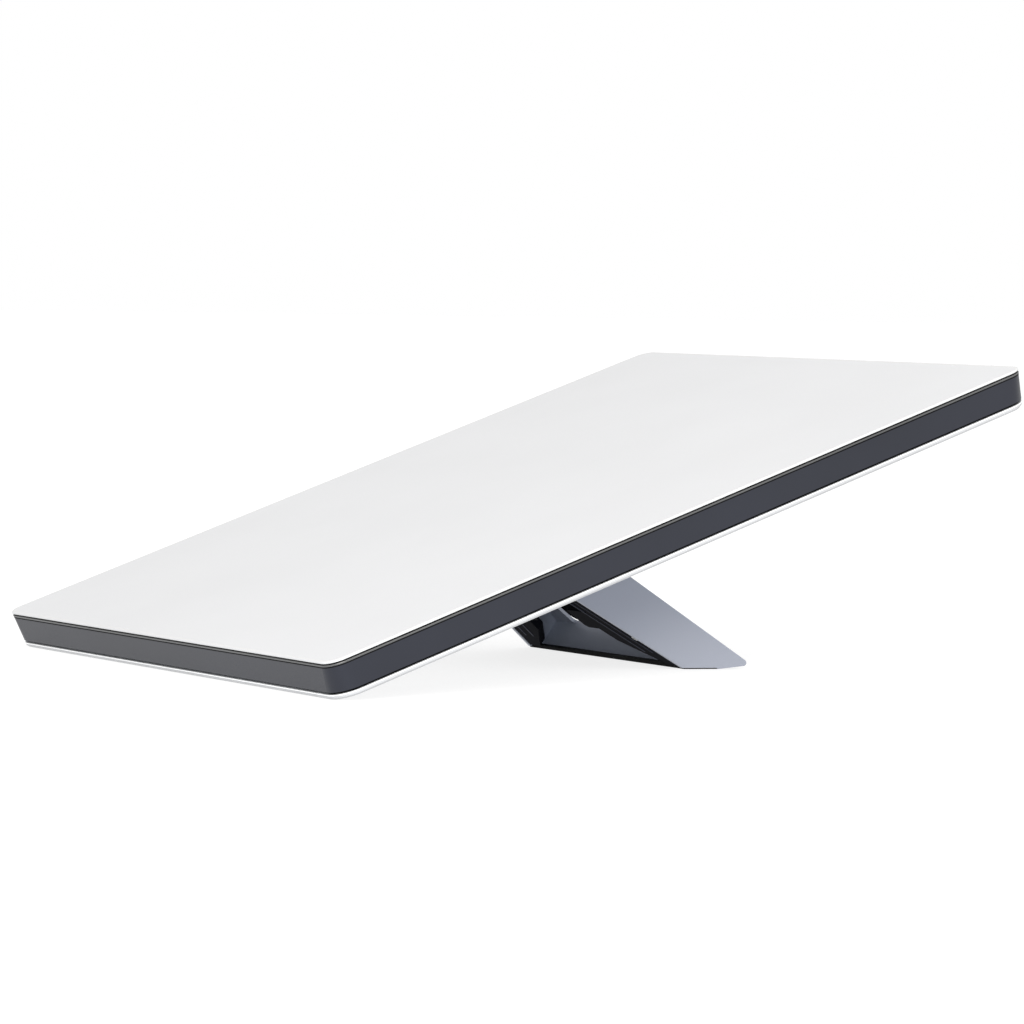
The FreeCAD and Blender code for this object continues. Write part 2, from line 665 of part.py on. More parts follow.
def make_mount_hub():
    plate = rounded_block(-HUB_HALF_WIDTH, HUB_HALF_WIDTH, HINGE_Y - HUB_BACK, HINGE_Y + HUB_FRONT,
                          -HUB_GASKET - HUB_PLATE, -HUB_GASKET, HUB_CORNER)
    tube_length = 2 * LUG_INNER
    tube = cylinder(TUBE_RADIUS, (-LUG_INNER, HINGE_Y, -AXIS_DROP), tube_length, X_AXIS)
    neck = box(-LUG_INNER, LUG_INNER, HINGE_Y - TUBE_RADIUS / 2, HINGE_Y + TUBE_RADIUS / 2,
               -AXIS_DROP, -HUB_GASKET)
    body = union((plate, tube, neck, knuckle(-HUB_HALF_WIDTH, -LUG_INNER),
                  knuckle(LUG_INNER, HUB_HALF_WIDTH), knuckle(-CENTRE_WALL, CENTRE_WALL)))
    bore_length = LUG_INNER - CENTRE_WALL
    slot_start = TAB_START - PIN_TRAVEL - TAB_SLOT_CLEARANCE
    slot_end = TAB_START + TAB_LENGTH + TAB_SLOT_CLEARANCE
    half_slot = TAB_HALF_STEM + TAB_SLOT_CLEARANCE
    right_tools = [
        cylinder(TUBE_BORE, (CENTRE_WALL, HINGE_Y, -AXIS_DROP), bore_length, X_AXIS),
        cylinder(LUG_BORE, (CENTRE_WALL, HINGE_Y, -AXIS_DROP), HUB_HALF_WIDTH, X_AXIS),
        box(slot_start, slot_end, HINGE_Y - half_slot, HINGE_Y + half_slot,
            -AXIS_DROP - TUBE_RADIUS - 1, -AXIS_DROP),
    ]
    tools = right_tools + [mirrored(tool) for tool in right_tools]
    for x, y in hub_screw_places():
        tools.append(screw_hole(x, y, -HUB_GASKET - HUB_PLATE - 1, 0))
        tools.append(head_recess(x, y, -HUB_GASKET - HUB_PLATE))
    return cut_all(body, tools)


def make_hub_gasket():
    plate = rounded_block(-HUB_HALF_WIDTH, HUB_HALF_WIDTH, HINGE_Y - HUB_BACK, HINGE_Y + HUB_FRONT,
                          -HUB_GASKET, 0, HUB_CORNER)
    return cut_all(plate, [screw_hole(x, y, -HUB_GASKET - 1, 1) for x, y in hub_screw_places()])


def make_hub_screws():
    bottom = -HUB_GASKET - HUB_PLATE + 0.2
    length = SPREADER_BOTTOM - 1.6 - bottom
    return Part.makeCompound([screw(x, y, bottom, length) for x, y in hub_screw_places()])


def ear_outer_x():
    """The ear's outer face at the hinge axis."""
    return FOOT_HALF_WIDTH - FLARE * LEG_REACH


def make_right_pin():
    outer_end = ear_outer_x() - PIN_END_RECESS
    body = cylinder(PIN_RADIUS, (PIN_INNER_END, HINGE_Y, -AXIS_DROP), outer_end - PIN_INNER_END - 1, X_AXIS)
    tip_start = FreeCAD.Vector(outer_end - 1, HINGE_Y, -AXIS_DROP)
    tip = Part.makeCone(PIN_RADIUS, PIN_RADIUS - 1, 1, tip_start, X_AXIS)
    stem = cylinder(STEM_RADIUS, (PIN_INNER_END - STEM_LENGTH, HINGE_Y, -AXIS_DROP), STEM_LENGTH + 1, X_AXIS)
    peg_x = TAB_START + TAB_LENGTH / 2
    peg_hole = cylinder(PEG_RADIUS, (peg_x, HINGE_Y, -AXIS_DROP - PIN_RADIUS - 1), PEG_DEPTH + 1, Z_AXIS)
    return union((body, tip, stem)).cut(peg_hole)


def make_right_tab():
    x0 = TAB_START
    x1 = TAB_START + TAB_LENGTH
    stem = box(x0, x1, HINGE_Y - TAB_HALF_STEM, HINGE_Y + TAB_HALF_STEM,
               -AXIS_DROP - TAB_HEAD_TOP, -AXIS_DROP - PIN_RADIUS / 2)
    stem = stem.cut(cylinder(PIN_RADIUS, (x0 - 1, HINGE_Y, -AXIS_DROP), TAB_LENGTH + 2, X_AXIS))
    peg = cylinder(PEG_RADIUS, (x0 + TAB_LENGTH / 2, HINGE_Y, -AXIS_DROP - PIN_RADIUS - 0.5),
                   PEG_DEPTH + 0.5, Z_AXIS)
    head = rounded_block(x0, x1, HINGE_Y - TAB_HALF_HEAD, HINGE_Y + TAB_HALF_HEAD,
                         -AXIS_DROP - TAB_HEAD_BOTTOM, -AXIS_DROP - TAB_HEAD_TOP, 1.5)
    return union((stem, peg, head))


def make_right_spring():
    """A compression spring between the hub's middle wall and the pin."""
    length = PIN_INNER_END - CENTRE_WALL - 2 * SPRING_WIRE - 0.2
    helix = Part.makeHelix(length / SPRING_TURNS, length, SPRING_RADIUS)
    start = FreeCAD.Vector(SPRING_RADIUS, 0, 0)
    circle = Part.Wire([Part.Circle(start, FreeCAD.Vector(0, 1, 0), SPRING_WIRE).toShape()])
    coil = Part.Wire(helix.Edges).makePipeShell([circle], True, True)
    coil.rotate(ORIGIN, FreeCAD.Vector(0, 1, 0), 90)
    coil.translate(FreeCAD.Vector(CENTRE_WALL + SPRING_WIRE + 0.1, HINGE_Y, -AXIS_DROP))
    return coil


# ================================================================ kickstand, built in the leg frame
def half_width(y):
    """Half the leg's width at a place along the leg."""
    return FOOT_HALF_WIDTH + FLARE * y


def back_line(y):
    """How deep the leg's back face lies."""
    return BACK_DEPTH - BACK_SLOPE * y


def flared_prism(y0, y1, inset, z0, z1):
    """A prism that follows the leg's flare, drawn in from both sides."""
    points = (
        (-half_width(y0) + inset, y0), (half_width(y0) - inset, y0),
        (half_width(y1) - inset, y1), (-half_width(y1) + inset, y1),
    )
    wire = Part.makePolygon([FreeCAD.Vector(x, y, z0) for x, y in points + points[:1]])
    return Part.Face(wire).extrude(FreeCAD.Vector(0, 0, z1 - z0))


def side_profile(corners, half):
    """A side view given as (y, z, radius) corners, pushed out to both sides."""
    wire = rounded_wire([(FreeCAD.Vector(-half, y, z), radius) for y, z, radius in corners])
    return Part.Face(wire).extrude(FreeCAD.Vector(2 * half, 0, 0))


def from_level(y, z):
    """A side-view point given level and upright from the foot's front edge, in the leg frame."""
    return y * LEAN_COS - z * LEAN_SIN, y * LEAN_SIN + z * LEAN_COS


def toe_tip():
    """Where the toe's rising floor meets the back line."""
    start_y, start_z = from_level(TOE_FLAT, 0.0)
    slope = math.radians(LEAN + TOE_RISE)
    gap = back_line(start_y) - start_z
    run = gap / (math.sin(slope) + BACK_SLOPE * math.cos(slope))
    return start_y + run * math.cos(slope), start_z + run * math.sin(slope)


def leg_corners():
    """The leg's side-view corners: foot edge, end of the flat sole, toe, heel and hinge end."""
    open_angle = math.radians(OPEN_ANGLE)
    hinge_end = -LEG_REACH - RIM_TO_AXIS / math.tan(open_angle / 2)
    heel_run = (back_line(hinge_end)) / (math.sin(open_angle) + BACK_SLOPE * math.cos(open_angle))
    heel_y = hinge_end + heel_run * math.cos(open_angle)
    heel_z = heel_run * math.sin(open_angle)
    return (
        (0.0, 0.0, FOOT_EDGE_RADIUS),
        (*from_level(TOE_FLAT, 0.0), 0.0),
        (*toe_tip(), TOE_RADIUS),
        (heel_y, heel_z, HEEL_RADIUS),
        (hinge_end, 0.0, RIM_TO_AXIS),
    )


def leg_solid():
    """The leg's outer form before it is hollowed."""
    corners = leg_corners()
    toe_y = toe_tip()[0]
    hinge_end = corners[-1][0]
    side_view = side_profile(corners, half_width(toe_y) + 1)
    plan = flared_prism(hinge_end - 1, toe_y + 1, 0.0, -1, BACK_DEPTH * 2)
    return side_view.common(plan)


def hollow_between(y0, y1, inset, cover, z0):
    """A space that follows the back wall at a given cover, between two places along the leg."""
    corners = ((y0, z0, 0), (y1, z0, 0), (y1, back_line(y1) - cover, 0), (y0, back_line(y0) - cover, 0))
    side_view = side_profile(corners, half_width(y1) + 1)
    return side_view.common(flared_prism(y0, y1, inset, z0 - 1, BACK_DEPTH * 2))


def sole_slab(z0, z1, y0, y1):
    """A level slab near the ground, given in level coordinates and turned into the leg frame."""
    half = half_width(toe_tip()[0]) + 1
    slab = box(-half, half, y0, y1, z0, z1)
    slab.rotate(ORIGIN, X_AXIS, LEAN)
    return slab


def cable_slot(margin):
    """The curved slot in the back wall: a cross run with an arm up each side."""
    y1 = TOE_WALL_POSITION + margin
    y0 = TOE_WALL_POSITION - SLOT_WIDTH - margin
    arm_y = TOE_WALL_POSITION - SLOT_ARM - margin
    outer = SLOT_HALF_WIDTH + margin
    inner = SLOT_HALF_WIDTH - SLOT_WIDTH - margin
    frame = rounded_block(-outer, outer, arm_y, y1, BACK_DEPTH / 2, BACK_DEPTH * 2, SLOT_CORNER / 2)
    island = rounded_block(-inner, inner, arm_y - SLOT_CORNER * 2, y0, BACK_DEPTH / 2 - 1,
                           BACK_DEPTH * 2 + 1, SLOT_CORNER)
    return frame.cut(island)


def toe_floor():
    """The plate under the rising toe."""
    rise = math.radians(TOE_RISE)
    length = 2 * BACK_DEPTH
    corners = []
    for along, up in ((0.0, 0.0), (length, 0.0), (length, TOE_FLOOR), (0.0, TOE_FLOOR)):
        y = TOE_FLAT + along * math.cos(rise) - up * math.sin(rise)
        z = along * math.sin(rise) + up * math.cos(rise)
        corners.append((*from_level(y, z), 0.0))
    return side_profile(corners, half_width(length))


def rail_bosses():
    """Blocks on the side walls that the rails are screwed to."""
    z0 = RAIL_TOP + RAIL_DEPTH
    bosses = []
    for at in RAIL_SCREW_AT:
        y0 = -at - BOSS_RADIUS
        y1 = -at + BOSS_RADIUS
        block = box(rail_screw_x(at) - BOSS_RADIUS, 2 * FOOT_HALF_WIDTH, y0, y1, z0, z0 + RAIL_BOSS_DEPTH)
        boss = block.common(flared_prism(y0, y1, SIDE_WALL / 2, z0, z0 + RAIL_BOSS_DEPTH))
        bosses += [boss, mirrored(boss)]
    return bosses


def make_stand_shell():
    corners = leg_corners()
    toe_y = toe_tip()[0]
    hinge_end = corners[-1][0]
    behind_wall = TOE_WALL_POSITION + TOE_WALL
    notch = box(-EAR_INNER, EAR_INNER, hinge_end - 5, -NOTCH_START, -1, BACK_DEPTH * 2)
    body = leg_solid().cut(hollow_between(-EAR_START, TOE_WALL_POSITION, SIDE_WALL, BACK_WALL, -2.0))
    body = union([body] + rail_bosses())
    tools = [
        hollow_between(behind_wall, toe_y, SIDE_WALL, BACK_WALL, -2.0).cut(toe_floor()),
        notch,
        cable_slot(0.0),
        sole_slab(-5.0, PAD_SOLE, -20.0, SOLE_END),
        cylinder(BUSH_RADIUS, (EAR_INNER - 1, -LEG_REACH, RIM_TO_AXIS), BUSH_LENGTH + 1, X_AXIS),
        cylinder(BUSH_RADIUS, (-EAR_INNER + 1, -LEG_REACH, RIM_TO_AXIS), BUSH_LENGTH + 1, -X_AXIS),
        cylinder(LUG_BORE, (-FOOT_HALF_WIDTH, -LEG_REACH, RIM_TO_AXIS), 2 * FOOT_HALF_WIDTH, X_AXIS),
    ]
    return cut_all(body, tools + rail_screw_holes())


def make_foot_pad():
    toe_y = toe_tip()[0]
    outer = leg_solid()
    sole = outer.common(sole_slab(-1.0, PAD_SOLE, 0.0, SOLE_END))
    sole = sole.common(flared_prism(-5.0, toe_y + 5.0, PAD_MARGIN, -5, BACK_DEPTH * 2))
    inner = outer.common(sole_slab(PAD_SOLE / 2, PAD_PLATE, 0.0, SOLE_END))
    inset = SIDE_WALL + RAIL_GAP
    front = inner.common(hollow_between(-20.0, TOE_WALL_POSITION - RAIL_GAP, inset, BACK_WALL, -2.0))
    rear_start = TOE_WALL_POSITION + TOE_WALL + RAIL_GAP
    rear = inner.common(hollow_between(rear_start, toe_y, inset, BACK_WALL + RAIL_GAP, -2.0))
    return union((sole, front, rear))


def make_stand_liner():
    """The dark panel on the inner face of the back wall."""
    y1 = TOE_WALL_POSITION - SLOT_WIDTH
    cover = BACK_WALL
    corners = (
        (-LINER_END, back_line(-LINER_END) - cover - LINER_THICKNESS, 0),
        (y1, back_line(y1) - cover - LINER_THICKNESS, 0),
        (y1, back_line(y1) - cover, 0),
        (-LINER_END, back_line(-LINER_END) - cover, 0),
    )
    plate = side_profile(corners, LINER_HALF_WIDTH)
    plan = rounded_block(-LINER_HALF_WIDTH, LINER_HALF_WIDTH, -LINER_END, y1, 0, BACK_DEPTH * 2, SLOT_CORNER)
    narrow = flared_prism(-LINER_END - 1, y1 + 1, SIDE_WALL + RAIL_GAP, 0, BACK_DEPTH * 2)
    notch = box(-EAR_INNER, EAR_INNER, -LINER_END - 5, -NOTCH_START + 2, 0, BACK_DEPTH * 2)
    return plate.common(plan).common(narrow).cut(notch)


def rail_wire(inset, z):
    """The rail's plan on the right side: it widens from the foot towards the latch block."""
    wall = SIDE_WALL + RAIL_GAP

    def outer(s):
        return half_width(-s) - wall

    points = (
        (outer(RAIL_START) - inset, RAIL_START + inset),
        (outer(RAIL_END) - inset, RAIL_END - inset),
        (outer(RAIL_END) - RAIL_FOOT_WIDTH + inset, RAIL_END - inset),
        (outer(BLOCK_END) - RAIL_FOOT_WIDTH + inset, BLOCK_END + inset),
        (outer(BLOCK_END) - RAIL_WIDTH + inset, BLOCK_END - inset),
        (outer(RAIL_WIDEN_AT) - RAIL_WIDTH + inset, RAIL_WIDEN_AT),
        (outer(RAIL_START) - RAIL_FOOT_WIDTH + inset, RAIL_START + inset),
    )
    return Part.makePolygon([FreeCAD.Vector(x, -s, z) for x, s in points + points[:1]])


def make_right_rail():
    strip = Part.Face(rail_wire(0.0, RAIL_TOP)).extrude(FreeCAD.Vector(0, 0, RAIL_DEPTH))
    wall_x = half_width(-BLOCK_END) - SIDE_WALL - RAIL_GAP
    block = rounded_block(BLOCK_INNER, wall_x - 1, -BLOCK_END, -BLOCK_START, RAIL_TOP, BLOCK_DEPTH,
                          BLOCK_RADIUS)
    rail = union((strip, block))
    pocket_floor = RAIL_TOP + RAIL_DEPTH - RAIL_POCKET_DEPTH
    core = Part.Face(rail_wire(RAIL_RIB, pocket_floor)).extrude(FreeCAD.Vector(0, 0, RAIL_POCKET_DEPTH + 1))
    count = int((RAIL_END - RAIL_START) // RAIL_POCKET_PITCH)
    far = FOOT_HALF_WIDTH + FLARE * RAIL_END
    bands = []
    for index in range(count):
        s = RAIL_START + RAIL_RIB + index * RAIL_POCKET_PITCH
        bands.append(box(0, far, -s - RAIL_POCKET, -s, pocket_floor, pocket_floor + RAIL_POCKET_DEPTH + 1))
    pockets = core.common(Part.makeCompound(bands))
    keep = []
    for at in RAIL_SCREW_AT:
        x = rail_screw_x(at)
        keep.append(box(x - BOSS_RADIUS, x + RAIL_FOOT_WIDTH, -at - BOSS_RADIUS, -at + BOSS_RADIUS,
                        0, RAIL_TOP + RAIL_DEPTH + 1))
    keep.append(block)
    return cut_all(rail, [cut_all(pockets, keep)] + rail_screw_holes())


def rail_screw_x(at):
    """The middle line of a rail screw, on the right side."""
    return half_width(-at) - SIDE_WALL - RAIL_GAP - BOSS_RADIUS - 0.5


def rail_screw_holes():
    """The bores and head seats of all the rail screws."""
    length = RAIL_DEPTH + RAIL_BOSS_DEPTH - 1.0
    tools = []
    for at in RAIL_SCREW_AT:
        x = rail_screw_x(at)
        bore = cylinder(SCREW_BORE, (x, -at, RAIL_TOP), length, Z_AXIS)
        right = union((bore, head_recess(x, -at, RAIL_TOP)))
        tools += [right, mirrored(right)]
    return tools


def make_rail_screws():
    """Pan-head screws that hold the rails to the side walls."""
    length = RAIL_DEPTH + RAIL_BOSS_DEPTH - 2.0
    screws = []
    for at in RAIL_SCREW_AT:
        right = screw(rail_screw_x(at), -at, RAIL_TOP + 0.2, length)
        screws += [right, mirrored(right)]
    return Part.makeCompound(screws)


def make_hinge_bushes():
    start = EAR_INNER
    right = ring(BUSH_RADIUS, LUG_BORE, (start, -LEG_REACH, RIM_TO_AXIS), BUSH_LENGTH, X_AXIS)
    return Part.makeCompound([right, mirrored(right)])


def make_wave_washers():
    start = HUB_HALF_WIDTH + WASHER_GAP
    length = EAR_INNER - HUB_HALF_WIDTH - 2 * WASHER_GAP
    right = ring(WASHER_RADIUS, LUG_BORE, (start, -LEG_REACH, RIM_TO_AXIS), length, X_AXIS)
    return Part.makeCompound([right, mirrored(right)])


# ================================================================ placing and writing
def place_panel(shape):
    """From the panel frame to a level frame with the low edge's contact line on the ground."""
    shape.rotate(ORIGIN, X_AXIS, TILT)
    shape.translate(FreeCAD.Vector(0, 0, -LOW_CONTACT * TILT_SIN))
    return shape


def place_leg(shape):
    """From the leg frame to the same level frame."""
    shape.rotate(ORIGIN, X_AXIS, -LEAN)
    shape.translate(FreeCAD.Vector(0, FOOT_LEVEL_Y, 0))
    return shape


def panel_nodes():
    right_pin = make_right_pin()
    right_tab = make_right_tab()
    right_spring = make_right_spring()
    return {
        "radome_cover": make_radome_cover(),
        "radome_seal": make_radome_seal(),
        "side_frame": make_side_frame(),
        "radome_core": make_radome_core(),
        "patch_film": make_patch_film(),
        "antenna_patches": make_antenna_patches(),
        "patch_spacer": make_patch_spacer(),
        "main_board": make_main_board(),
        "beamformer_chips": make_chip_layer(CHIP_SIZE, CHIP_BOTTOM, CHIP_THICKNESS),
        "thermal_pads": make_chip_layer(CHIP_SIZE + 1, PAD_BOTTOM, PAD_THICKNESS),
        "shield_can": make_shield_can(),
        "gps_module": make_gps_module(),
        "heat_spreader": make_heat_spreader(),
        "back_gasket": make_back_gasket(),
        "back_cover": make_back_cover(),
        "cover_screws": make_cover_screws(),
        "vent_plug": make_vent_plug(),
        "rear_housing": make_rear_housing(),
        "housing_gasket": make_housing_gasket(),
        "housing_screws": make_housing_screws(),
        "power_module": make_power_module(),
        "port_socket": make_port_socket(),
        "port_contacts": make_port_contacts(),
        "port_seal": make_port_seal(),
        "mount_hub": make_mount_hub(),
        "hub_gasket": make_hub_gasket(),
        "hub_screws": make_hub_screws(),
        "right_hinge_pin": right_pin,
        "left_hinge_pin": mirrored(right_pin),
        "right_thumb_tab": right_tab,
        "left_thumb_tab": mirrored(right_tab),
        "right_pin_spring": right_spring,
        "left_pin_spring": mirrored(right_spring),
    }


def leg_nodes():
    right_rail = make_right_rail()
    return {
        "stand_shell": make_stand_shell(),
        "stand_liner": make_stand_liner(),
        "right_rail": right_rail,
        "left_rail": mirrored(right_rail),
        "rail_screws": make_rail_screws(),
        "foot_pad": make_foot_pad(),
        "hinge_bushes": make_hinge_bushes(),
        "wave_washers": make_wave_washers(),
    }


def main():
    nodes = {name: place_panel(shape) for name, shape in panel_nodes().items()}
    nodes.update({name: place_leg(shape) for name, shape in leg_nodes().items()})
    extent = Part.makeCompound([nodes["radome_cover"], nodes["back_cover"]]).optimalBoundingBox(False)
    middle = FreeCAD.Vector(0, -(extent.YMin + extent.YMax) / 2, 0)
    os.makedirs("parts", exist_ok=True)
    for name, shape in nodes.items():
        shape.translate(middle)
        shape.exportStep("parts/" + name + ".step")
        print("%-18s solids %3d  valid %s  volume %10.1f"
              % (name, len(shape.Solids), shape.isValid(), shape.Volume))
    axis_y = AXIS_LEVEL_Y + middle.y
    print("hinge axis y %.3f z %.3f" % (axis_y, AXIS_HEIGHT))
    print("foot edge y %.3f  row shift %.3f" % (FOOT_LEVEL_Y + middle.y, middle.y))
    print("leg reach %.3f  ear outer x %.3f  fold %.3f" % (LEG_REACH, ear_outer_x(), OPEN_ANGLE - 180))


main()
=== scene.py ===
import json
import math

import bmesh
import bpy
from mathutils import Matrix, Vector


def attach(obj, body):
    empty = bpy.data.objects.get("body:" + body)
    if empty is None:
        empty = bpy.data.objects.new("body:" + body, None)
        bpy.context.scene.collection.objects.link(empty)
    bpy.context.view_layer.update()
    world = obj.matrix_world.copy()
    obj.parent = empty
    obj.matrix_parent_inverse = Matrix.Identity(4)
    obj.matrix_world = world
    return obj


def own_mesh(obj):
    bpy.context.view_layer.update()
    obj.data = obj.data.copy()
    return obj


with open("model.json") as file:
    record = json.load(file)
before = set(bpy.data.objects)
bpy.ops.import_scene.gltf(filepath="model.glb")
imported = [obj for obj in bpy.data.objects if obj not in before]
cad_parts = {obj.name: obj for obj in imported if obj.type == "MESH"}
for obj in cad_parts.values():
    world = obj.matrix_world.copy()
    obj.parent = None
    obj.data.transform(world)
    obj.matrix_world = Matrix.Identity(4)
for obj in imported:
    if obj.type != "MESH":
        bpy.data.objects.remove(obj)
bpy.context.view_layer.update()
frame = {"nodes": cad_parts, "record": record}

# ---------------------------------------------------------------- places, in metres
TILT = math.radians(19.37)
LEAN = math.radians(34.66)
MILLI = 0.001
LOW_CONTACT = 2.7 * MILLI
ROW_SHIFT = -274.835 * MILLI
FOOT_Y = 85.260 * MILLI
FLOOR_DROP = 0.2 * MILLI
FLOOR_RADIUS = 30.0

CAMERA_PLACE = (3.04524, -1.7827, 0.28118)
CAMERA_FORWARD = (-0.861547, 0.50534, -0.048655)
CAMERA_UP = (-0.049313, 0.012085, 0.99871)
SENSOR_WIDTH = 36.0
FOCAL_LENGTH = 169.68

# panel frame: X across, Y up the slope, Z out of the front
# leg frame: X across, Y down the leg, Z into its depth
PANEL = Matrix.Translation((0, ROW_SHIFT, -LOW_CONTACT * math.sin(TILT))) @ Matrix.Rotation(TILT, 4, "X")
LEG = Matrix.Translation((0, FOOT_Y, 0)) @ Matrix.Rotation(-LEAN, 4, "X")


# ================================================================ camera
def make_camera():
    """A long lens, a little above the height of the surface, from the low right corner."""
    data = bpy.data.cameras.new("camera")
    data.sensor_width = SENSOR_WIDTH
    data.lens = FOCAL_LENGTH
    data.clip_start = 0.05
    data.clip_end = 90.0
    camera = bpy.data.objects.new("camera", data)
    forward = Vector(CAMERA_FORWARD).normalized()
    up = Vector(CAMERA_UP)
    right = forward.cross(up).normalized()
    up = right.cross(forward)
    turn = Matrix((right, up, -forward)).transposed().to_4x4()
    camera.matrix_world = Matrix.Translation(CAMERA_PLACE) @ turn
    bpy.context.scene.collection.objects.link(camera)
    bpy.context.scene.camera = camera


# ================================================================ materials
class Nodes:
    """Short calls for building a node tree."""

    def __init__(self, name):
        self.material = bpy.data.materials.new(name)
        self.material.use_nodes = True
        self.tree = self.material.node_tree
        self.shader = self.tree.nodes["Principled BSDF"]
        self.coords = self.add("ShaderNodeTexCoord").outputs["Object"]

    def add(self, kind):
        return self.tree.nodes.new(kind)

    def link(self, source, target):
        self.tree.links.new(source, target)

    def noise(self, scale, detail=4.0, stretch=(1, 1, 1), roughness=0.5):
        mapping = self.add("ShaderNodeMapping")
        mapping.inputs["Scale"].default_value = stretch
        self.link(self.coords, mapping.inputs["Vector"])
        node = self.add("ShaderNodeTexNoise")
        node.inputs["Scale"].default_value = scale
        node.inputs["Detail"].default_value = detail
        node.inputs["Roughness"].default_value = roughness
        self.link(mapping.outputs["Vector"], node.inputs["Vector"])
        return node.outputs["Fac"]

    def ramp(self, source, stops):
        node = self.add("ShaderNodeValToRGB")
        elements = node.color_ramp.elements
        while len(elements) < len(stops):
            elements.new(0.5)
        for element, (position, colour) in zip(elements, stops):
            element.position = position
            element.color = (*colour, 1.0)
        self.link(source, node.inputs["Fac"])
        return node.outputs["Color"]

    def span(self, source, low, high, from_low=0.0, from_high=1.0):
        node = self.add("ShaderNodeMapRange")
        node.inputs["From Min"].default_value = from_low
        node.inputs["From Max"].default_value = from_high
        node.inputs["To Min"].default_value = low
        node.inputs["To Max"].default_value = high
        self.link(source, node.inputs["Value"])
        return node.outputs["Result"]

    def bump(self, source, strength, distance):
        node = self.add("ShaderNodeBump")
        node.inputs["Strength"].default_value = strength
        node.inputs["Distance"].default_value = distance
        self.link(source, node.inputs["Height"])
        self.link(node.outputs["Normal"], self.shader.inputs["Normal"])

    def set(self, name, value):
        self.shader.inputs[name].default_value = value


GLOSS_SPREAD = 0.06
GRAIN_DEPTH = 0.4 * MILLI


def grained(name, dark, light, roughness, metallic=0.0, grain=900.0, bump=0.05, patch=9.0,
            stretch=(1, 1, 1), specular=0.5, sheen=(1.0, 1.0, 1.0)):
    """A surface with slow colour drift, a fine moulded or painted grain and uneven gloss."""
    nodes = Nodes(name)
    drift = nodes.noise(patch, 3.0)
    fine = nodes.noise(grain, 5.0, stretch, 0.6)
    nodes.link(nodes.ramp(drift, ((0.3, dark), (0.7, light))), nodes.shader.inputs["Base Color"])
    gloss = nodes.span(fine, roughness - GLOSS_SPREAD, roughness + GLOSS_SPREAD, 0.3, 0.7)
    nodes.link(gloss, nodes.shader.inputs["Roughness"])
    nodes.set("Metallic", metallic)
    nodes.set("Specular IOR Level", specular)
    nodes.set("Specular Tint", (*sheen, 1.0))
    nodes.bump(fine, bump, GRAIN_DEPTH)
    return nodes.material


def grey(value, tint=(1.0, 1.0, 1.0)):
    return tuple(value * part for part in tint)


COOL = (0.86, 0.92, 1.40)
PALE = (0.99, 0.995, 1.015)
BLUISH = (0.86, 0.90, 1.0)
LONG_GRAIN = (1, 12, 1)
CROSS_GRAIN = (1, 9, 9)


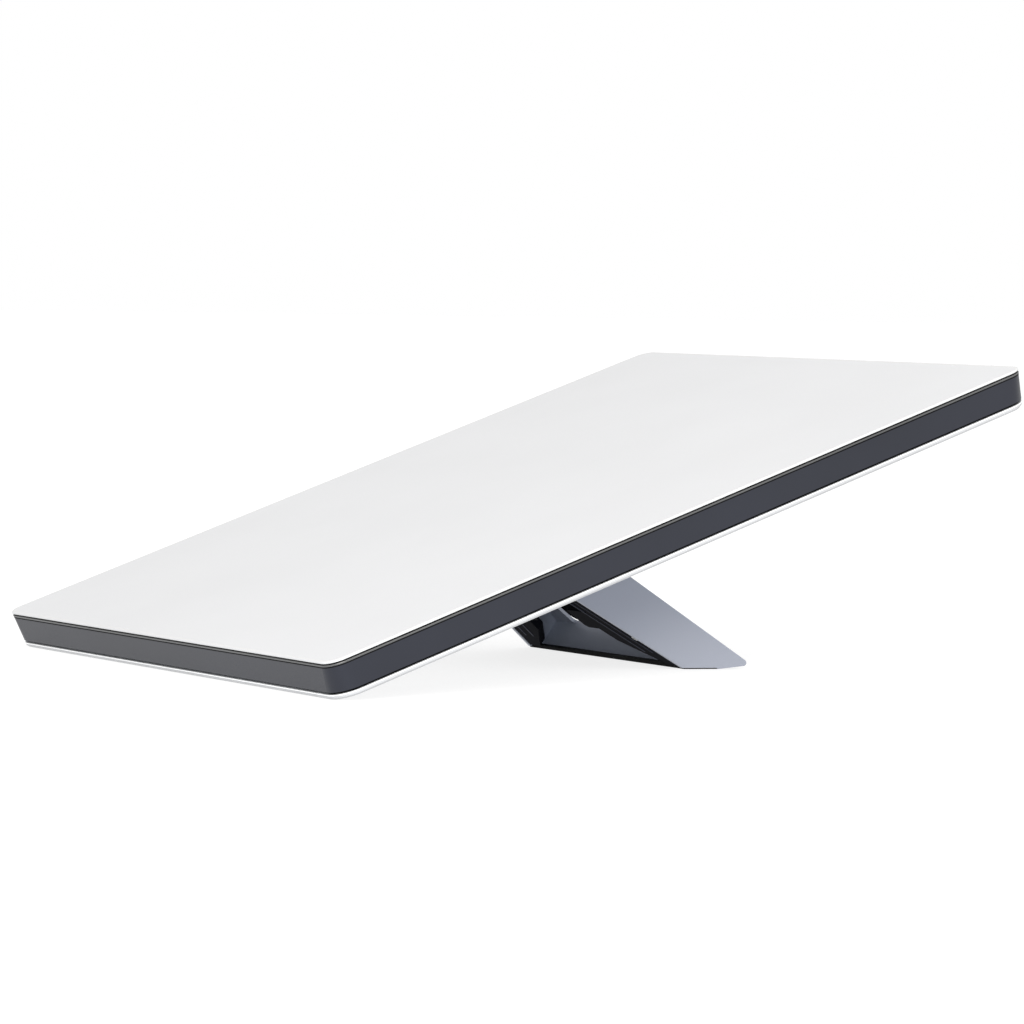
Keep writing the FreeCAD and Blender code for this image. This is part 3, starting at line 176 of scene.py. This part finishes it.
def make_materials():
    """One finish for each of the record's material slots, and four more for trims."""
    return {
        "radome": grained("radome", grey(0.545, PALE), grey(0.56, PALE), 0.42, grain=1400.0, bump=0.02),
        # back cover white: set dimmer than the radome's white, painted shade that greys the lip
        "white_cover": grained("white_cover", grey(0.42, PALE), grey(0.45, PALE), 0.45, grain=1200.0,
                               bump=0.04),
        "frame_paint": grained("frame_paint", grey(0.009, COOL), grey(0.012, COOL), 0.38, 0.0, 1600.0, 0.08,
                               sheen=BLUISH),
        "seal_rubber": grained("seal_rubber", grey(0.003), grey(0.006), 0.75, grain=2200.0, bump=0.2,
                               specular=0.06),
        "foam": grained("foam", (0.78, 0.76, 0.70), (0.84, 0.82, 0.77), 0.9, grain=3000.0, bump=0.5),
        "film": grained("film", (0.50, 0.28, 0.06), (0.60, 0.36, 0.10), 0.25, grain=800.0, bump=0.01),
        "copper": grained("copper", (0.62, 0.34, 0.20), (0.75, 0.45, 0.28), 0.28, 1.0, 1500.0, 0.05),
        "board": grained("board", (0.01, 0.07, 0.03), (0.015, 0.10, 0.045), 0.4, grain=1100.0, bump=0.08),
        "chip": grained("chip", grey(0.02), grey(0.03), 0.5, grain=3000.0, bump=0.2),
        "thermal_pad": grained("thermal_pad", (0.30, 0.42, 0.55), (0.38, 0.50, 0.62), 0.85, bump=0.2),
        "tin": grained("tin", grey(0.5), grey(0.6), 0.32, 1.0, 1200.0, 0.05),
        "spreader_metal": grained("spreader_metal", grey(0.55), grey(0.65), 0.35, 1.0, 900.0, 0.08,
                                  stretch=LONG_GRAIN),
        "screw_steel": grained("screw_steel", grey(0.35), grey(0.45), 0.3, 1.0, 2500.0, 0.08),
        "housing_plastic": grained("housing_plastic", grey(0.76), grey(0.80), 0.45, grain=1800.0, bump=0.15),
        "black_plastic": grained("black_plastic", grey(0.002, COOL), grey(0.004, COOL), 0.75, grain=2600.0,
                                 bump=0.1, specular=0.02),
        "stand_metal": grained("stand_metal", (0.228, 0.240, 0.282), (0.248, 0.260, 0.300), 0.42, 0.35,
                               1900.0, 0.08, specular=0.4),
        "pin_steel": grained("pin_steel", grey(0.55), grey(0.62), 0.22, 1.0, 2500.0, 0.05,
                             stretch=CROSS_GRAIN),
        "spring_steel": grained("spring_steel", grey(0.4), grey(0.5), 0.28, 1.0, 2500.0, 0.05),
        "bush_plastic": grained("bush_plastic", (0.62, 0.60, 0.54), (0.70, 0.68, 0.62), 0.5, grain=2200.0,
                                bump=0.1),
        # frame bead: a lighter grey than the frame paint, a painted highlight along the frame's top edge
        "frame_bead_highlight": grained("frame_bead_highlight", grey(0.075), grey(0.095), 0.34, 0.2, 1600.0, 0.05),
        # rail lines: a lighter grey than the black rails, a painted highlight along the rail edges
        "rail_stripe_highlight": grained("rail_stripe_highlight", grey(0.015, COOL), grey(0.025, COOL), 0.6, grain=2600.0, bump=0.1,
                             specular=0.1),
        # lip bead: a far brighter white than the back cover it sits on, a painted highlight along the top of
        # the lip
        "lip_highlight": grained("lip_highlight", grey(0.86), grey(0.90), 0.35, grain=1200.0, bump=0.03),
        "cover_edge": grained("cover_edge", grey(0.54), grey(0.57), 0.38, grain=1200.0, bump=0.03),
    }


def dress_frame(materials):
    """Gives each CAD node the finish of its slot."""
    for subpart in frame["record"]["subparts"]:
        node = frame["nodes"][subpart["node"]]
        node.data.materials.clear()
        node.data.materials.append(materials[subpart["material_slot"]])


EDGE_WIDTHS = (("stand_shell", 0.5), ("mount_hub", 0.3), ("back_cover", 0.2))


def add_bevel(piece, name, width, segments):
    modifier = piece.modifiers.new(name, "BEVEL")
    modifier.width = width * MILLI
    modifier.segments = segments
    modifier.limit_method = "ANGLE"
    return modifier


def soften_edges():
    """Small rounded edges on the parts that show."""
    for name, width in EDGE_WIDTHS:
        add_bevel(frame["nodes"][name], "edges", width, 2).angle_limit = math.radians(40)


def squash_springs():
    """Gives each pin spring a mesh of its own."""
    for side, sign in (("right", 1), ("left", -1)):
        spring = frame["nodes"][side + "_pin_spring"]
        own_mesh(spring)


# ================================================================ small pieces, sizes in millimetres
PANEL_WIDTH = 511.0
PANEL_LENGTH = 594.0
PANEL_EDGE = 28.0
SIDE_TAPER = 1.2
TOP_RADIUS = 12.0
BACK_RADIUS = 18.0
CORNER_STEPS = 12
PORT_X = -65.0
PORT_Y = 373.7
VENT_X = 195.5
VENT_Y = 500.0
HINGE_Y = 277.7
TAB_FACE = 35.5
TAB_RIBS = (-25.6, -23.9, -22.2)
RIB_SIZE = (1.0, 8.4, 0.4)
RIB_STAND_OFF = 0.1
RIB_HEIGHT = 0.8
FOOT_HALF_WIDTH = 109.9
FLARE = 0.39
SHARP_ANGLE = math.radians(35)
MERGE_DISTANCE = 0.001 * MILLI

# cross-sections of the trims round the panel: distance out from its side, and height
COVER_RIM = ((-3.0, 27.5), (-2.7, 27.98), (-1.8, 28.15), (-0.9, 28.05), (-0.1, 27.7), (0.14, 27.25),
             (0.12, 26.85), (-0.1, 26.6), (-1.0, 26.6))
FRAME_BEAD = ((-1.5, 25.4), (-0.7, 25.52), (-0.1, 25.38), (0.2, 24.9), (0.14, 24.4), (-0.15, 24.15),
              (-0.9, 24.3))
# the seam ring is black rubber standing a hair proud of the frame: a painted shadow line under the bead
FRAME_SHADOW_SEAM = ((-0.6, 24.2), (0.04, 24.12), (0.07, 23.75), (0.04, 23.35), (-0.6, 23.3))
LIP_BEAD = ((-1.0, 3.65), (-0.2, 3.72), (0.2, 3.5), (0.26, 3.2), (0.15, 2.9), (-0.8, 2.8))

# rings on the back: width, length and corner radius outside and inside, then the two heights
BACK_RIDGE = ((424, 507, 24), (421, 504, 22.5), 0.3, -0.5)
PORT_BEZEL = ((37, 28, 7), (31, 22, 4.5), -13.7, -14.9)
VENT_RING = ((15, 15, 7.5), (11, 11, 5.5), 0.3, -0.6)
STATUS_OFFSET = 27
STATUS_LAYERS = (((12, 4, 1.9), -13.7, -14.3), ((9, 1.8, 0.8), -14.1, -14.5))

# lines along a rail: distance in from the foot's flared side and width, then their ends and heights
RAIL_LINES = ((24.0, 1.6), (13.0, 1.2))
RAIL_LINE_SPAN = (-82, -18)
RAIL_LINE_HEIGHTS = (1.2, 0.25)


def rounded_loop(x0, x1, y0, y1, radius, steps=CORNER_STEPS):
    """Points round a rounded rectangle."""
    points = []
    corners = ((x1, y1, 0), (x0, y1, 90), (x0, y0, 180), (x1, y0, 270))
    for x, y, start in corners:
        middle_x = x - math.copysign(radius, x - (x0 + x1) / 2)
        middle_y = y - math.copysign(radius, y - (y0 + y1) / 2)
        for step in range(steps + 1):
            angle = math.radians(start + 90 * step / steps)
            points.append((middle_x + radius * math.cos(angle), middle_y + radius * math.sin(angle)))
    return points


def panel_loop(z, out):
    """Points round the panel's side at a height, moved outwards."""
    share = 1 - z / PANEL_EDGE
    edge = SIDE_TAPER * share - out
    radius = max(TOP_RADIUS + (BACK_RADIUS - TOP_RADIUS) * share + out, 1.0)
    half = PANEL_WIDTH / 2 - edge
    return rounded_loop(-half, half, edge, PANEL_LENGTH - edge, radius)


def skin(shape, rings, closed):
    """Joins rings of points into a skin; an open one gets end caps."""
    count = len(rings[0])
    verts = [[shape.verts.new([value * MILLI for value in point]) for point in ring] for ring in rings]
    pairs = list(zip(verts, verts[1:]))
    if closed:
        pairs.append((verts[-1], verts[0]))
    else:
        shape.faces.new(verts[0][::-1])
        shape.faces.new(verts[-1])
    for low, high in pairs:
        for index in range(count):
            after = (index + 1) % count
            shape.faces.new((low[index], low[after], high[after], high[index]))


def finish_piece(name, shape, place, body, material, bevel=0.0):
    """Turns a built shape into a piece that rides on a body."""
    bmesh.ops.remove_doubles(shape, verts=shape.verts, dist=MERGE_DISTANCE)
    bmesh.ops.recalc_face_normals(shape, faces=shape.faces)
    mesh = bpy.data.meshes.new(name)
    shape.to_mesh(mesh)
    shape.free()
    mesh.transform(place)
    for polygon in mesh.polygons:
        polygon.use_smooth = True
    mesh.materials.append(material)
    piece = bpy.data.objects.new(name, mesh)
    bpy.context.scene.collection.objects.link(piece)
    if bevel:
        add_bevel(piece, "bevel", bevel, 3)
    mesh.set_sharp_from_angle(angle=SHARP_ANGLE)
    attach(piece, body)


def panel_band(name, profile, material):
    """A trim that runs round the panel, from a cross-section of (outwards, height) points."""
    shape = bmesh.new()
    rings = [[(x, y, z) for x, y in panel_loop(z, out)] for out, z in profile]
    skin(shape, rings, closed=True)
    finish_piece(name, shape, PANEL, "panel", material)


def at_height(outline, z):
    return [(x, y, z) for x, y in outline]


def centred(x, y, width, length, radius):
    return rounded_loop(x - width / 2, x + width / 2, y - length / 2, y + length / 2, radius)


def blocks(name, outlines, place, body, material, bevel):
    """Raised blocks, each from an outline and two heights."""
    shape = bmesh.new()
    for outline, z0, z1 in outlines:
        skin(shape, [at_height(outline, z0), at_height(outline, z1)], closed=False)
    finish_piece(name, shape, place, body, material, bevel)


def back_ring(name, x, y, sizes, material, bevel):
    """A flat ring on the panel's back, from its outer and inner outlines and two heights."""
    outside, inside, z0, z1 = sizes
    outer, inner = centred(x, y, *outside), centred(x, y, *inside)
    shape = bmesh.new()
    heights = ((outer, z0), (outer, z1), (inner, z1), (inner, z0))
    skin(shape, [at_height(outline, z) for outline, z in heights], closed=True)
    finish_piece(name, shape, PANEL, "panel", material, bevel)


def add_panel_trims(materials):
    """The rounded edges and dark lines that run round the panel; the black seam under the frame bead is a
    painted shadow line, and the frame and lip beads carry painted highlights.
    """
    panel_band("cover_rim", COVER_RIM, materials["cover_edge"])
    # the frame bead's lighter grey is a painted highlight
    panel_band("frame_bead", FRAME_BEAD, materials["frame_bead_highlight"])
    # the black seam is a painted shadow line under the frame bead
    panel_band("frame_shadow_seam", FRAME_SHADOW_SEAM, materials["seal_rubber"])
    # the lip bead's bright white is a painted highlight
    panel_band("lip_bead", LIP_BEAD, materials["lip_highlight"])


def add_back_details(materials):
    """Shallow trims on the panel's back, all clear of the folded stand."""
    white, black = materials["white_cover"], materials["black_plastic"]
    back_ring("back_ridge", 0, PANEL_LENGTH / 2, BACK_RIDGE, white, 0.2)
    back_ring("port_bezel", PORT_X, PORT_Y, PORT_BEZEL, black, 0.3)
    layers = [(centred(PORT_X, PORT_Y + STATUS_OFFSET, *size), z0, z1) for size, z0, z1 in STATUS_LAYERS]
    blocks("status_window", layers, PANEL, "panel", black, 0.15)
    back_ring("vent_ring", VENT_X, VENT_Y, VENT_RING, white, 0.2)


def add_stand_details(materials):
    """Grip ribs on the thumb tabs and two raised lines along each rail, lighter grey than the rail as a
    painted highlight.
    """
    for side, sign in (("right", 1), ("left", -1)):
        rib = centred(sign * (TAB_FACE + RIB_STAND_OFF), HINGE_Y, *RIB_SIZE)
        blocks(side + "_tab_ribs", [(rib, z, z + RIB_HEIGHT) for z in TAB_RIBS], PANEL, side + "_pin",
               materials["black_plastic"], 0.15)
        low_y, high_y = RAIL_LINE_SPAN
        lines = []
        for inset, width in RAIL_LINES:
            corners = ((0, low_y), (width, low_y), (width, high_y), (0, high_y))
            outline = [(sign * (FOOT_HALF_WIDTH + FLARE * y - inset + across), y) for across, y in corners]
            lines.append((outline, *RAIL_LINE_HEIGHTS))
        # the rail lines' lighter grey is a painted highlight
        blocks(side + "_rail_line", lines, LEG, "kickstand", materials["rail_stripe_highlight"], 0.15)


# ================================================================ studio
def make_stage():
    """A wide pale light table."""
    mesh = bpy.data.meshes.new("floor")
    shape = bmesh.new()
    bmesh.ops.create_circle(shape, cap_ends=True, segments=96, radius=FLOOR_RADIUS)
    bmesh.ops.translate(shape, verts=shape.verts, vec=(0, 0, -FLOOR_DROP))
    shape.to_mesh(mesh)
    shape.free()
    floor = bpy.data.objects.new("floor", mesh)
    bpy.context.scene.collection.objects.link(floor)
    nodes = Nodes("floor_paint")
    speckle = nodes.noise(60.0, 4.0)
    paint = nodes.ramp(speckle, ((0.3, grey(0.24)), (0.7, grey(0.26))))
    nodes.link(paint, nodes.shader.inputs["Base Color"])
    nodes.set("Roughness", 0.9)
    nodes.set("Specular IOR Level", 0.05)
    nodes.set("Emission Color", (1.0, 1.0, 1.0, 1.0))
    nodes.set("Emission Strength", 0.80)
    mesh.materials.append(nodes.material)


# name, azimuth, elevation, distance, size, power, colour
SOFTBOXES = (("side_box", -25.0, 33.0, 4.5, (2.4, 2.4), 150.0, (1.0, 0.97, 0.92)),
             ("low_box", -31.0, 2.2, 4.2, (0.8, 0.16), 72.0, (0.84, 0.92, 1.0)))


def add_softbox(name, azimuth, elevation, distance, size, power, colour):
    """A flat light that faces the object from a direction given in degrees."""
    data = bpy.data.lights.new(name, "AREA")
    data.shape = "RECTANGLE"
    data.size, data.size_y = size
    data.energy = power
    data.color = colour
    light = bpy.data.objects.new(name, data)
    turn, rise = math.radians(azimuth), math.radians(elevation)
    level = math.cos(rise)
    away = Vector((level * math.cos(turn), level * math.sin(turn), math.sin(rise)))
    light.location = away * distance
    light.rotation_euler = away.to_track_quat("Z", "Y").to_euler()
    bpy.context.scene.collection.objects.link(light)


def light_studio():
    """An even white surround, a large warm light at the side and a low cool one by the camera."""
    world = bpy.data.worlds.new("studio")
    world.use_nodes = True
    background = world.node_tree.nodes["Background"]
    background.inputs["Color"].default_value = (1.0, 1.0, 1.0, 1.0)
    background.inputs["Strength"].default_value = 1.0
    bpy.context.scene.world = world
    for softbox in SOFTBOXES:
        add_softbox(*softbox)
    bpy.context.scene.view_settings.view_transform = "Standard"


make_camera()
materials = make_materials()
dress_frame(materials)
add_panel_trims(materials)
add_back_details(materials)
add_stand_details(materials)
soften_edges()
squash_springs()
make_stage()
light_studio()
